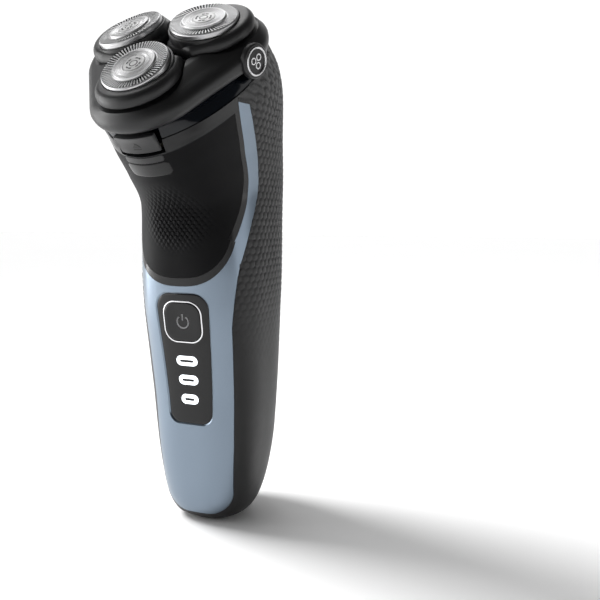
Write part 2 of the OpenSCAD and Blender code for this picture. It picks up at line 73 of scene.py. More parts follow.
LIGHTS = [(42.7, 6.2), (49.2, 7.0), (55.6, 7.6)]
CHIN_Z, CHIN_TOP, CHIN_W = 80.0, 100.0, 17.3
CHIN_ROUNDNESS = 2.6
BEZEL_W = 2.6
ARM_FRONT = [(-13.9, 93.6), (-11.4, 99), (-9.2, 105), (-8.8, 109), (-9.8, 114), (-13.9, 121.5), (-16.8, 126),
             (-22.6, 134)]
ARM_REAR = [(-17.2, 134), (-12.7, 129), (-7.4, 121.5), (-4.6, 114.5), (-3.9, 110), (-5, 105), (-7.3, 99),
            (-12, 87)]
PANEL_SIDE = [(12.9, 12), (14, 27), (15.6, 67), (17.85, 86.5), (17.9, 97)]

# ---------- Mesh helpers ----------


def new_object(name, verts, faces, scale=MM):
    mesh = bpy.data.meshes.new(name)
    mesh.from_pydata([tuple(c * scale for c in v) for v in verts], [], faces)
    mesh.validate()
    obj = bpy.data.objects.new(name, mesh)
    bpy.context.scene.collection.objects.link(obj)
    return obj


def smooth(obj, angle=35):
    mesh = obj.data
    mesh.polygons.foreach_set("use_smooth", [True] * len(mesh.polygons))
    mesh.set_sharp_from_angle(angle=math.radians(angle))
    return obj


def apply_modifiers(obj):
    graph = bpy.context.evaluated_depsgraph_get()
    mesh = bpy.data.meshes.new_from_object(obj.evaluated_get(graph))
    old = obj.data
    obj.modifiers.clear()
    obj.data = mesh
    bpy.data.meshes.remove(old)
    return obj


def boolean(obj, cutter, operation="DIFFERENCE"):
    """Cuts obj with the cutter, joins them or keeps their overlap, and deletes the cutter."""
    mod = obj.modifiers.new("cut", "BOOLEAN")
    mod.operation = operation
    mod.object = cutter
    mod.solver = "MANIFOLD"
    apply_modifiers(obj)
    bpy.data.objects.remove(cutter)
    return obj


def bevel(obj, width, segments=3, angle=40):
    mod = obj.modifiers.new("bevel", "BEVEL")
    mod.width = width * MM
    mod.segments = segments
    mod.limit_method = "ANGLE"
    mod.angle_limit = math.radians(angle)
    return apply_modifiers(obj)


def join(name, parts):
    """One object from several, keeping each part's materials."""
    bm = bmesh.new()
    mats = []
    for part in parts:
        start = len(bm.faces)
        bm.from_mesh(part.data)
        bm.faces.ensure_lookup_table()
        base = len(mats)
        mats += list(part.data.materials) or [None]
        for face in bm.faces[start:]:
            face.material_index += base
    mesh = bpy.data.meshes.new(name)
    bm.to_mesh(mesh)
    bm.free()
    for mat in mats:
        mesh.materials.append(mat)
    for part in parts:
        bpy.data.objects.remove(part)
    obj = bpy.data.objects.new(name, mesh)
    bpy.context.scene.collection.objects.link(obj)
    return obj


def prism(name, outline, place, low, high):
    """A straight prism on a 2D outline. place(a, b, depth) gives the 3D point."""
    count = len(outline)
    verts = [place(a, b, d) for d in (low, high) for a, b in outline]
    faces = [list(range(count)), list(range(2 * count - 1, count - 1, -1))]
    faces += [[i, i + count, (i + 1) % count + count, (i + 1) % count] for i in range(count)]
    obj = new_object(name, verts, faces)
    fix_normals(obj)
    return obj


def fix_normals(obj):
    bm = bmesh.new()
    bm.from_mesh(obj.data)
    bmesh.ops.recalc_face_normals(bm, faces=bm.faces)
    bm.to_mesh(obj.data)
    bm.free()


def front_view(x, z, depth):
    return (x, -depth, z)


def side_view(y, z, depth):
    return (depth, y, z)


def band(low, high, count, closed=True):
    """Quads between two loops of count points that start at the vertex numbers low and high."""
    return [[low + k, low + (k + 1) % count, high + (k + 1) % count, high + k]
            for k in range(count if closed else count - 1)]


def stacked(name, rings):
    """A surface through rings of points, closed by a flat cap at each end."""
    count = len(rings[0])
    verts = [p for ring in rings for p in ring]
    faces = []
    for r in range(len(rings) - 1):
        faces += band(r * count, (r + 1) * count, count)
    faces.append(list(range(count))[::-1])
    faces.append([(len(rings) - 1) * count + k for k in range(count)])
    obj = new_object(name, verts, faces)
    fix_normals(obj)
    return obj


def torus_of(name, loops):
    """A closed ring-shaped body through loops of points, the last joined to the first."""
    count = len(loops[0])
    verts = [p for loop in loops for p in loop]
    faces = []
    for r in range(len(loops)):
        faces += band(r * count, (r + 1) % len(loops) * count, count)
    obj = new_object(name, verts, faces)
    fix_normals(obj)
    return obj


def mirrored(points):
    return list(points) + [(-x, z) for x, z in reversed(points) if x != 0]


def offset(outline, distance):
    """The outline moved outwards by distance, along each corner's mean normal."""
    pts = np.array(outline, float)
    nxt, prv = np.roll(pts, -1, 0), np.roll(pts, 1, 0)
    area = np.sum(pts[:, 0] * nxt[:, 1] - nxt[:, 0] * pts[:, 1])
    turn = 1 if area > 0 else -1
    d1 = (pts - prv) / np.maximum(np.linalg.norm(pts - prv, axis=1, keepdims=True), 1e-9)
    d2 = (nxt - pts) / np.maximum(np.linalg.norm(nxt - pts, axis=1, keepdims=True), 1e-9)
    n1 = np.stack([d1[:, 1], -d1[:, 0]], 1) * turn
    n2 = np.stack([d2[:, 1], -d2[:, 0]], 1) * turn
    mean = n1 + n2
    mean /= np.maximum(np.linalg.norm(mean, axis=1, keepdims=True), 1e-9)
    stretch = 1 / np.clip(np.sum(mean * n1, axis=1, keepdims=True), 0.5, 1)
    return [tuple(p) for p in pts + mean * stretch * distance]


def resampled(outline, spacing):
    pts = [Vector(p) for p in outline]
    out = []
    for i, p in enumerate(pts):
        q = pts[(i + 1) % len(pts)]
        steps = max(1, round((q - p).length / spacing))
        out += [tuple(p.lerp(q, k / steps)) for k in range(steps)]
    return out


# ---------- Handle surface ----------

KNOTS = [0.0]
for previous, station in zip(STATIONS, STATIONS[1:]):
    front_gap = math.dist(previous[:2], station[:2])
    rear_gap = math.dist(previous[2:4], station[2:4])
    KNOTS.append(KNOTS[-1] + max(1.2, (front_gap + rear_gap) / 2))


def station_at(s):
    """Section values at the place s along the knots, on a smooth curve through the stations."""
    i = min(max(int(np.searchsorted(KNOTS, s, "right")) - 1, 0), len(KNOTS) - 2)
    data = np.array(STATIONS, float)
    h = KNOTS[i + 1] - KNOTS[i]
    t = (s - KNOTS[i]) / h

    def slope(k):
        sides = [(data[m + 1] - data[m]) / (KNOTS[m + 1] - KNOTS[m])
                 for m in (k - 1, k) if 0 <= m < len(KNOTS) - 1]
        if len(sides) == 1:
            return sides[0]
        left, right = sides
        return np.where(left * right > 0, 2 * left * right / np.where(left + right == 0, 1, left + right), 0)

    h00, h10 = 2 * t**3 - 3 * t**2 + 1, t**3 - 2 * t**2 + t
    h01, h11 = -2 * t**3 + 3 * t**2, t**3 - t**2
    return h00 * data[i] + h10 * h * slope(i) + h01 * data[i + 1] + h11 * h * slope(i + 1)


def section(values, inset, count):
    """Evenly spaced points of one section, from its front round by +X, as X, along and the two ends."""
    fy, fz, ry, rz, half_w, widest, n_front, n_rear = values
    span = math.dist((fy, fz), (ry, rz))
    fine = 720
    t = np.linspace(-np.pi / 2, 1.5 * np.pi, fine + 1)
    front = np.sin(t) < 0
    e = np.where(front, 2 / n_front, 2 / n_rear)
    reach = np.where(front, span * widest, span * (1 - widest)) - inset
    x = (half_w - inset) * np.sign(np.cos(t)) * np.abs(np.cos(t)) ** e
    d = span * widest + reach * np.sign(np.sin(t)) * np.abs(np.sin(t)) ** e
    run = np.concatenate([[0], np.cumsum(np.hypot(np.diff(x), np.diff(d)))])
    want = np.linspace(0, run[-1], count, endpoint=False)
    x, d = np.interp(want, run, x), np.interp(want, run, d)
    y = fy + (ry - fy) / span * d
    z = fz + (rz - fz) / span * d
    return np.stack([x, y, z], 1), run[-1]


def handle_grid(rings, count, inset=0.0, start=0.0, end=None):
    end = KNOTS[-1] if end is None else end
    grid, around = [], []
    for s in np.linspace(start, end, rings):
        pts, length = section(station_at(s), inset, count)
        grid.append(pts)
        around.append(length)
    return np.array(grid), np.array(around)


def grid_normals(grid):
    du = np.roll(grid, -1, 1) - np.roll(grid, 1, 1)
    dv = np.gradient(grid, axis=0)
    n = np.cross(du, dv)
    n /= np.maximum(np.linalg.norm(n, axis=2, keepdims=True), 1e-9)
    return n


def handle_solid(name, rings=150, count=200, inset=0.0, start=0.0, end=None, relief=None):
    grid, around = handle_grid(rings, count, inset, start, end)
    if relief is not None:
        grid = grid + grid_normals(grid) * relief(grid, around)[:, :, None]
    return stacked(name, [[tuple(p) for p in ring] for ring in grid])


def step(v, low, high):
    t = np.clip((v - low) / (high - low), 0, 1)
    return t * t * (3 - 2 * t)


def scale_relief(grid, around):
    """Small raised scales on the sides, fading out towards the base and the middle of the back."""
    count = grid.shape[1]
    arc = (np.arange(count) / count)[None, :] * around[:, None]
    from_rear = np.abs(arc - around[:, None] / 2)
    z = grid[:, :, 2]
    cell_w, cell_h = 2.9, 2.5
    p = np.stack([from_rear / cell_w, z / (cell_h * math.sqrt(3))], -1)
    a = p - np.round(p)
    b = p - 0.5 - np.round(p - 0.5)
    scale = np.array([1, math.sqrt(3)])
    da, db = np.linalg.norm(a * scale, axis=2), np.linalg.norm(b * scale, axis=2)
    nearest = np.where((da < db)[:, :, None], a, b) * scale
    q = np.abs(nearest)
    edge = np.maximum(q[:, :, 0], q[:, :, 0] * 0.5 + q[:, :, 1] * math.sqrt(3) / 2)
    cell = 1 - step(edge, 0.33, 0.49)
    lean = nearest[:, :, 1] * 0.35
    fade = step(z, 48, 92) * step(from_rear, 7, 13) * (1 - step(z, 152, 158))
    return (cell * (0.3 + lean * 0.3) - 0.14) * fade - 0.06 * fade


def grip_relief(grid, _):
    """Fine crossed ridges on the lower middle of the neck."""
    x, z = grid[:, :, 0], grid[:, :, 2]
    u, v = (x + z * 0.75) / 1.7, (x - z * 0.75) / 1.7
    cross = np.abs(np.sin(np.pi * u)) * np.abs(np.sin(np.pi * v))
    centre = np.hypot((x - 1) / 13, (z - 100.5) / 11)
    fade = (1 - step(centre, 0.35, 1.05)) * (grid[:, :, 1] < 0)
    return (step(cross, 0.15, 0.6) - 1) * 0.3 * fade


PROBE = handle_solid("probe", 220, 260)
TREE = BVHTree.FromObject(PROBE, bpy.context.evaluated_depsgraph_get())
bpy.data.objects.remove(PROBE)


def on_front(x, z, lift=0.0):
    hit, normal, _, _ = TREE.ray_cast(Vector((x, -200, z)) * MM, Vector((0, 1, 0)))
    return tuple(hit / MM + normal * lift)


def on_neck(x, n, lift=0.0):
    """The neck's front surface at width x and height n along the head's axis."""
    start = head_point(x, -120, n)
    way = head_point(0, 1, 0) - head_point(0, 0, 0)
    hit, normal, _, _ = TREE.ray_cast(start * MM, way)
    return tuple(hit / MM + normal * lift)


# ---------- Outlines ----------


def chin_outline(inset):
    """The neck's lower edge, a half superellipse that ends 5 mm below its widest place."""
    height = CHIN_TOP - CHIN_Z - inset
    points = []
    for i in range(19):
        z = CHIN_TOP - height + height * (i / 18) ** 2
        if z > CHIN_TOP - 5:
            break
        rise = max(0, 1 - ((CHIN_TOP - z) / height) ** CHIN_ROUNDNESS) ** (1 / CHIN_ROUNDNESS)
        points.append(((CHIN_W - inset * 0.4) * rise, z))
    return mirrored(points)


def flowing(points, steps=8):
    """The points joined by a smooth curve that passes through each of them."""
    pts = [Vector(p) for p in points]
    ends = [pts[0] * 2 - pts[1]] + pts + [pts[-1] * 2 - pts[-2]]
    out = []
    for a, b, c, d in zip(ends, ends[1:], ends[2:], ends[3:]):
        for k in range(steps):
            t = k / steps
            q = b * 2 + (c - a) * t + (a * 2 - b * 5 + c * 4 - d) * t**2 + (b * 3 - a - c * 3 + d) * t**3
            out.append(tuple(q / 2))
    return out + [tuple(pts[-1])]


def neck_side_outline(inset):
    edge = [(y - inset / 1.2, z) for y, z in flowing(ARM_FRONT)]
    return [(-60, 93.6 + inset)] + edge + [(-27 - inset / 1.2, 140), (-60, 140)]


def panel_outline():
    corner = 9
    arc = [(PANEL_SIDE[0][0] - corner + corner * math.cos(a), 3 + corner + corner * math.sin(a))
           for a in np.radians(np.arange(-90, 1, 9))]
    return mirrored(arc + PANEL_SIDE)


def hull_outline(circles):
    """Convex outline round circles given as (x, z, radius)."""
    pts = [(x + r * math.cos(a), z + r * math.sin(a)) for x, z, r in circles
           for a in np.linspace(0, 2 * math.pi, 48, endpoint=False)]
    pts = sorted(set(pts))

    def half(points):
        out = []
        for p in points:
            while len(out) > 1 and ((out[-1][0] - out[-2][0]) * (p[1] - out[-2][1])
                                    - (out[-1][1] - out[-2][1]) * (p[0] - out[-2][0])) <= 0:
                out.pop()
            out.append(p)
        return out[:-1]

    return half(pts) + half(pts[::-1])


def window_outline():
    return hull_outline([(s * 4.2, 38.2, 3.6) for s in (-1, 1)] + [(s * 4.4, 72.6, 5) for s in (-1, 1)])


def button_outline():
    c = 3.8
    w, h = BUTTON_W / 2 - c, BUTTON_W / 2 - c - 0.2
    return hull_outline([(x, BUTTON_Z + z, c) for x in (-w, w) for z in (-h, h)])


def light_outline(z, width):
    half = width / 2 - 1.6
    return hull_outline([(x, z, 1.6) for x in (-half, half)])


def reach_of(outline, way, middle=(0, 0)):
    """Distance from the middle to an outline in one direction."""
    best = 0
    for i, (px, py) in enumerate(outline):
        qx, qy = outline[(i + 1) % len(outline)]
        ax, ay, wx, wy = px - middle[0], py - middle[1], qx - px, qy - py
        cross = way.x * wy - way.y * wx
        if abs(cross) > 1e-9:
            far = (ax * wy - ay * wx) / cross
            part = (ax * way.y - ay * way.x) / cross
            if far > best and -1e-7 <= part <= 1 + 1e-7:
                best = far
    return best


# ---------- Head frame ----------


def head_point(x, v, n):
    c, s = math.cos(HEAD_TILT), math.sin(HEAD_TILT)
    return HEAD_CENTRE + Vector((x, v * c - n * s, v * s + n * c))


def head_matrix():
    return Matrix.Translation(HEAD_CENTRE * MM) @ Matrix.Rotation(HEAD_TILT, 4, "X")


def cap_matrix(k):
    return (head_matrix() @ Matrix.Rotation(LOBE_ANGLES[k], 4, "Z")
            @ Matrix.Translation(Vector((CAP_RING * MM, 0, 0))) @ Matrix.Rotation(CAP_LEAN, 4, "Y"))


def lobe_outline(distance, radius, bulge=0.7, arc_steps=22, side_steps=14):
    """Rounded triangle round three circles, with its sides bowed out a little."""
    pts = []
    for i, angle in enumerate(LOBE_ANGLES):
        cx, cy = distance * math.cos(angle), distance * math.sin(angle)
        for a in np.linspace(angle - math.pi / 3, angle + math.pi / 3, arc_steps):
            pts.append((cx + radius * math.cos(a), cy + radius * math.sin(a)))
        nxt = LOBE_ANGLES[(i + 1) % 3]
        out = angle + math.pi / 3
        start = (cx + radius * math.cos(out), cy + radius * math.sin(out))
        end = (distance * math.cos(nxt) + radius * math.cos(out),
               distance * math.sin(nxt) + radius * math.sin(out))
        for k in range(1, side_steps):
            t = k / side_steps
            push = bulge * math.sin(math.pi * t) ** 2
            pts.append((start[0] + (end[0] - start[0]) * t + push * math.cos(out),
                        start[1] + (end[1] - start[1]) * t + push * math.sin(out)))
    return pts


def lobed_solid(name, profile, bulge=0.7):
    """A body through lobed outlines; profile lists (height, lobe distance, lobe radius)."""
    return stacked(name, [[tuple(head_point(x, v, n)) for x, v in lobe_outline(d, r, bulge)]
                          for n, d, r in profile])


def lathe(name, profile, matrix, count=96):
    """A body of revolution in a local frame; profile lists (radius, height) from axis to axis."""
    verts, faces = [], []
    for r, h in profile:
        for k in range(count):
            a = 2 * math.pi * k / count
            verts.append((r * math.cos(a), r * math.sin(a), h))
    for i in range(len(profile) - 1):
        faces += band(i * count, (i + 1) * count, count)
    obj = new_object(name, verts, faces)
    bm = bmesh.new()
    bm.from_mesh(obj.data)
    bmesh.ops.remove_doubles(bm, verts=bm.verts, dist=1e-7)
    bmesh.ops.recalc_face_normals(bm, faces=bm.faces)
    bm.to_mesh(obj.data)
    bm.free()
    obj.data.transform(matrix)
    return obj


def plug(name, radius, low, high, matrix, count=96):
    """A cylinder on a local frame's own axis."""
    return lathe(name, [(0, low), (radius, low), (radius, high), (0, high)], matrix, count)


def round_bar(name, start, end, radius, count=48):
    """A cylinder between two points in millimetres."""
    a, b = Vector(start), Vector(end)
    turn = (b - a).to_track_quat("Z", "Y").to_matrix().to_4x4()
    return plug(name, radius, 0, (b - a).length, Matrix.Translation(a * MM) @ turn, count)


def hinge_bar(name, reach, radius, middle=0):
    """A cylinder along the head's hinge axis, to reach on both sides of middle."""
    return round_bar(name, head_point(middle - reach, HINGE_V, HINGE_N),
                     head_point(middle + reach, HINGE_V, HINGE_N), radius)


def drive_bar(name, angle, low, high, radius):
    """A cylinder on one drive spindle's axis, between two heights in the head's frame."""
    x, v = DRIVE_RING * math.cos(angle), DRIVE_RING * math.sin(angle)
    return round_bar(name, head_point(x, v, low), head_point(x, v, high), radius)


def block(name, low, high, matrix):
    x0, y0, z0 = low
    x1, y1, z1 = high
    verts = [(x, y, z) for z in (z0, z1) for x, y in ((x0, y0), (x1, y0), (x1, y1), (x0, y1))]
    faces = [[3, 2, 1, 0], [4, 5, 6, 7]] + [[i, (i + 1) % 4, (i + 1) % 4 + 4, i + 4] for i in range(4)]
    obj = new_object(name, verts, faces)
    obj.data.transform(matrix)
    return obj


# ---------- Materials ----------


class Shader:
    """A small builder for one procedural Principled material."""

    def __init__(self, name, color, roughness, metallic=0.0, **extra):
        self.mat = bpy.data.materials.new(name)
        self.mat.use_nodes = True
        self.tree = self.mat.node_tree
        self.bsdf = self.tree.nodes["Principled BSDF"]
        self.color = color
        self.set("Base Color", (*color, 1))
        self.set("Roughness", roughness)
        self.set("Metallic", metallic)
        for key, value in extra.items():
            self.set(key.replace("_", " "), value)
        self.roughness = roughness
        self.coords = self.tree.nodes.new("ShaderNodeTexCoord").outputs["Object"]

    def set(self, socket, value):
        self.bsdf.inputs[socket].default_value = value

    def noise(self, scale, detail, stretch=(1, 1, 1)):
        mapping = self.tree.nodes.new("ShaderNodeMapping")
        mapping.inputs["Scale"].default_value = stretch
        self.tree.links.new(self.coords, mapping.inputs["Vector"])
        node = self.tree.nodes.new("ShaderNodeTexNoise")
        node.inputs["Scale"].default_value = scale
        node.inputs["Detail"].default_value = detail
        self.tree.links.new(mapping.outputs["Vector"], node.inputs["Vector"])
        return node.outputs["Fac"]

    def ramp(self, fac, low, high):
        node = self.tree.nodes.new("ShaderNodeMapRange")
        node.inputs["To Min"].default_value = low
        node.inputs["To Max"].default_value = high
        self.tree.links.new(fac, node.inputs["Value"])
        return node.outputs["Result"]

    def vary_color(self, fac, amount):
        node = self.tree.nodes.new("ShaderNodeMix")
        node.data_type = "RGBA"
        low = [c * (1 - amount) for c in self.color]
        high = [min(1, c * (1 + amount)) for c in self.color]
        node.inputs[6].default_value = (*low, 1)
        node.inputs[7].default_value = (*high, 1)
        self.tree.links.new(fac, node.inputs[0])
        self.tree.links.new(node.outputs[2], self.bsdf.inputs["Base Color"])
        return self

    def vary_roughness(self, fac, amount):
        out = self.ramp(fac, max(0.02, self.roughness - amount), self.roughness + amount)
        self.tree.links.new(out, self.bsdf.inputs["Roughness"])
        return self

    def bump(self, fac, distance, strength=1.0):
        node = self.tree.nodes.new("ShaderNodeBump")
        node.inputs["Distance"].default_value = distance * MM
        node.inputs["Strength"].default_value = strength
        self.tree.links.new(fac, node.inputs["Height"])
        self.tree.links.new(node.outputs["Normal"], self.bsdf.inputs["Normal"])
        return self


def moulded(name, color, roughness, grain=0.02, grain_scale=2500, vary=0.12, **extra):
    """Moulded plastic or rubber: fine grain, with slightly uneven colour and gloss."""
    s = Shader(name, color, roughness, **extra)
    s.vary_color(s.noise(120, 3), vary)
    s.vary_roughness(s.noise(300, 5), 0.05)
    s.bump(s.noise(grain_scale, 2), grain)
    return s.mat


def glossy(name, color, roughness=0.07):
    """Polished plastic: a clear coat over a dark body, with faint waviness and fine wipe marks."""
    s = Shader(name, color, roughness, Specular_IOR_Level=0.3, Coat_Weight=0.15, Coat_Roughness=0.04)
    s.vary_color(s.noise(60, 2), 0.15)
    s.vary_roughness(s.noise(90, 6, (1, 1, 6)), 0.03)
    s.bump(s.noise(45, 1), 0.006)
    return s.mat


def brushed(name, color, roughness):
    """Brushed or ground metal, with fine lines along one way."""
    s = Shader(name, color, roughness, 1.0)
    stretch = (1, 1, 30)
    s.vary_color(s.noise(200, 3), 0.08)
    s.vary_roughness(s.noise(700, 4, stretch), 0.1)
    s.bump(s.noise(1500, 3, stretch), 0.01)
    return s.mat


def satin_blue():
    """Metallic blue lacquer: fine flake, slow tonal drift and a satin coat."""
    s = Shader("satin_blue", (0.2, 0.25, 0.31), 0.3, 0.9, Coat_Weight=0.35, Coat_Roughness=0.22)
    s.vary_color(s.noise(9000, 2), 0.1)
    s.vary_roughness(s.noise(150, 4), 0.04)
    s.bump(s.noise(6000, 1), 0.004)
    return s.mat


def turned_steel(name, color, roughness, rings):
    """Steel turned on a lathe: concentric lines round the part's own axis, which its UV map centres."""
    s = Shader(name, color, roughness, 1.0)
    uv = s.tree.nodes.new("ShaderNodeUVMap").outputs["UV"]
    wave = s.tree.nodes.new("ShaderNodeTexWave")
    wave.wave_type = "RINGS"
    wave.rings_direction = "Z"
    wave.inputs["Scale"].default_value = rings
    wave.inputs["Distortion"].default_value = 0.35
    s.tree.links.new(uv, wave.inputs["Vector"])
    s.vary_color(s.noise(260, 3), 0.1)
    s.vary_roughness(wave.outputs["Fac"], 0.09)
    s.bump(wave.outputs["Fac"], 0.02)
    return s.mat


def glowing(name, color, strength):
    s = Shader(name, color, 0.4)
    s.vary_roughness(s.noise(400, 2), 0.05)
    s.set("Emission Color", (*color, 1))
    s.set("Emission Strength", strength)
    return s.mat


M = {
    "textured_shell": moulded("textured_shell", (0.045, 0.045, 0.046), 0.5, 0.03, 2200,
                              Specular_IOR_Level=0.4),
    "blue_panel": satin_blue(),
    "gloss_black": glossy("gloss_black", (0.008, 0.008, 0.01)),
    "bezel": glossy("bezel_gloss", (0.018, 0.018, 0.02), 0.16),
    "soft_grip": moulded("soft_grip", (0.011, 0.011, 0.012), 0.52, 0.015, 3000, Specular_IOR_Level=0.12),
    "silver_trim": brushed("silver_trim", (0.72, 0.72, 0.74), 0.2),
    "light_guide": glowing("lit_guide", (0.9, 0.95, 1.0), 2.2),
    "circuit_board": moulded("solder_mask", (0.02, 0.12, 0.05), 0.35),
    "black_plastic": moulded("black_plastic", (0.03, 0.03, 0.032), 0.5),
    "led": moulded("led_epoxy", (0.75, 0.72, 0.5), 0.25),
    "cell_wrap": glossy("cell_wrap", (0.05, 0.28, 0.12), 0.25),
    "nickel": brushed("nickel", (0.66, 0.64, 0.6), 0.3),
    "contact_brass": brushed("contact_brass", (0.72, 0.56, 0.28), 0.25),
    "screw_steel": brushed("screw_steel", (0.55, 0.55, 0.57), 0.32),
    "motor_can": brushed("motor_can", (0.58, 0.59, 0.6), 0.28),
    "pinion_brass": brushed("pinion_brass", (0.75, 0.58, 0.26), 0.26),
    "gear_acetal": moulded("gear_acetal", (0.72, 0.69, 0.6), 0.4),
    "spindle_plastic": moulded("spindle_plastic", (0.1, 0.1, 0.11), 0.4),
    "seal_rubber": moulded("seal_rubber", (0.02, 0.02, 0.02), 0.7),
    "deck_gloss": glossy("deck_gloss", (0.004, 0.008, 0.016), 0.14),
    "pin_steel": brushed("pin_steel", (0.62, 0.62, 0.63), 0.22),
    "release_grey": moulded("release_grey", (0.05, 0.05, 0.052), 0.36),
    "head_charcoal": moulded("head_charcoal", (0.014, 0.014, 0.015), 0.44, 0.012, 3500),
    "cap_steel": turned_steel("cap_steel", (0.5, 0.5, 0.505), 0.36, 34.0),
    "cap_disc": turned_steel("cap_disc", (0.42, 0.42, 0.42), 0.42, 22.0),
    "slot_shadow": moulded("slot_shadow", (0.004, 0.004, 0.004), 0.9, Specular_IOR_Level=0.0),
    "cutter_steel": brushed("cutter_steel", (0.55, 0.55, 0.57), 0.3),
    "badge_metal": brushed("badge_metal", (0.3, 0.3, 0.31), 0.35),
    "badge_bright": brushed("badge_bright", (0.62, 0.62, 0.63), 0.25),
    "trimmer_plastic": moulded("trimmer_plastic", (0.04, 0.04, 0.042), 0.45),
    "trimmer_steel": brushed("trimmer_steel", (0.66, 0.66, 0.67), 0.25),
    "dark_slot": moulded("dark_slot", (0.004, 0.004, 0.004), 0.6),
    "print_white": moulded("print_white", (0.7, 0.7, 0.72), 0.45),
    "print_dark": moulded("print_dark", (0.01, 0.01, 0.01), 0.5),
}


def finish_piece(obj, body, material=None, nodes=(), angle=35):
    if material:
        obj.data.materials.clear()
        obj.data.materials.append(M[material])
    smooth(obj, angle)
    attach(obj, body)
    if nodes:
        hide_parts(*nodes)
    return obj


# ---------- Handle shells ----------


def union_of(name, zones):
    parts = [prism("zone", outline, view, low, high) for outline, view, low, high in zones]
    first = parts[0]
    first.name = name
    for part in parts[1:]:
        boolean(first, part, "UNION")
    return first


def neck_zone(inset=0.0, grow=0.0):
    return union_of("neck_zone", [
        (offset(chin_outline(inset), grow), front_view, 0, 60),
        (offset(neck_side_outline(inset), grow), side_view, -40, 40)])


def panel_zone(grow=0.0):
    side = [(-18, 87), (-16, 93.6)] + flowing(ARM_FRONT) + flowing(ARM_REAR)
    zone = union_of("panel_zone", [
        (offset(panel_outline(), grow), front_view, 0, 60),
        (offset(side, grow), side_view, -40, 40)])
    return boolean(zone, neck_zone(0, -grow))


def head_end_room():
    """Space at the top of the handle for the gears, spindles and release button."""
    room = lobed_solid("room", [(-27, 11.5, 14), (DECK_BOTTOM - 1.8, 11.5, 14)], 0)
    for angle in LOBE_ANGLES:
        boolean(room, drive_bar("hole", angle, -20, -14, 3.4), "UNION")
    notch = block("notch", (-7.3, -40, -20.2), (7.3, -26, -12.2), head_matrix())
    return boolean(room, notch, "UNION")


def hollow(obj):
    """Leaves the handle's wall, and clears the room at its top."""
    boolean(obj, handle_solid("inner", 70, 120, WALL, KNOTS[1], KNOTS[-2]))
    boolean(obj, head_end_room())
    return obj


def build_rear_shell():
    shell = handle_solid("rear_shell_skin", 430, 330, relief=scale_relief)
    hollow(shell)
    boolean(shell, panel_zone(0.07))
    boolean(shell, neck_zone(0, 0.07))
    identity = Matrix.Identity(4)
    boolean(shell, block("socket", (-5.15, 13, 8.85), (5.15, 25, 15.35), identity))
    boolean(shell, block("trimmer", (-11.15, 19.85, 77.85), (11.15, 40, 112.15), identity))
    boolean(shell, block("slot", (-2.3, 20, 61.5), (2.3, 30, 72), identity))
    return finish_piece(shell, "handle", "textured_shell", nodes=["rear_shell"], angle=50)


def build_front_panel():
    panel = handle_solid("front_panel_skin", 300, 260)
    hollow(panel)
    boolean(panel, panel_zone(-0.03), "INTERSECT")
    boolean(panel, prism("hole", offset(window_outline(), 0.45), front_view, 0, 60))
    return finish_piece(panel, "handle", "blue_panel", nodes=["front_panel"])


def top_band():
    """The space just under the drive deck, which the bezel runs round."""
    return block("band", (-40, -60, -20.6), (40, 2, -10), head_matrix())


def build_bezel():
    bezel = handle_solid("chin_bezel_skin", 260, 260)
    hollow(bezel)
    boolean(bezel, neck_zone(0, -0.03), "INTERSECT")
    middle = neck_zone(BEZEL_W, 0.05)
    boolean(middle, top_band())
    boolean(bezel, middle)
    return finish_piece(bezel, "handle", "bezel", nodes=["chin_bezel"])


def build_neck_grip():
    grip = handle_solid("neck_grip_skin", 460, 700, start=KNOTS[7], relief=grip_relief)
    hollow(grip)
    boolean(grip, neck_zone(BEZEL_W, -0.03), "INTERSECT")
    boolean(grip, top_band())
    return finish_piece(grip, "handle", "soft_grip", nodes=["neck_grip"])


def surface_loop(outline, lift):
    return [on_front(x, z, lift) for x, z in outline]


def patch(name, outline, lift, depth, project=on_front, dome=0.0):
    """A thin plate that follows the handle inside an outline, with a rounded rim."""
    centre = np.mean(np.array(outline), axis=0)
    rings = []
    for shrink, level in ((1.0, lift - depth), (1.0, lift - 0.12), (0.985, lift - 0.03), (0.95, lift)):
        rings.append((shrink, level))
    for k in range(1, 8):
        shrink = 0.95 * (1 - k / 8)
        rings.append((shrink, lift + dome * (1 - (shrink / 0.95) ** 2)))
    loops = [[project(*(centre + (np.array(p) - centre) * s), level) for p in outline] for s, level in rings]
    verts = [p for loop in loops for p in loop]
    verts += [project(*centre, lift + dome), project(*centre, lift - depth)]
    count = len(outline)
    faces = []
    for r in range(len(loops) - 1):
        faces += band(r * count, (r + 1) * count, count)
    top, bottom, last = len(verts) - 2, len(verts) - 1, (len(loops) - 1) * count
    faces += [[last + k, last + (k + 1) % count, top] for k in range(count)]
    faces += [[(k + 1) % count, k, bottom] for k in range(count)]
    obj = new_object(name, verts, faces)
    fix_normals(obj)
    return obj


def rim(name, outline, inner, outer, top_inner, top_outer, depth):
    """A ring that follows an outline on the handle, sloping from its outer to its inner edge."""
    corners = ((outer, top_outer), (inner, top_inner), (inner, -depth), (outer, -depth))
    return torus_of(name, [surface_loop(offset(outline, grow), lift) for grow, lift in corners])


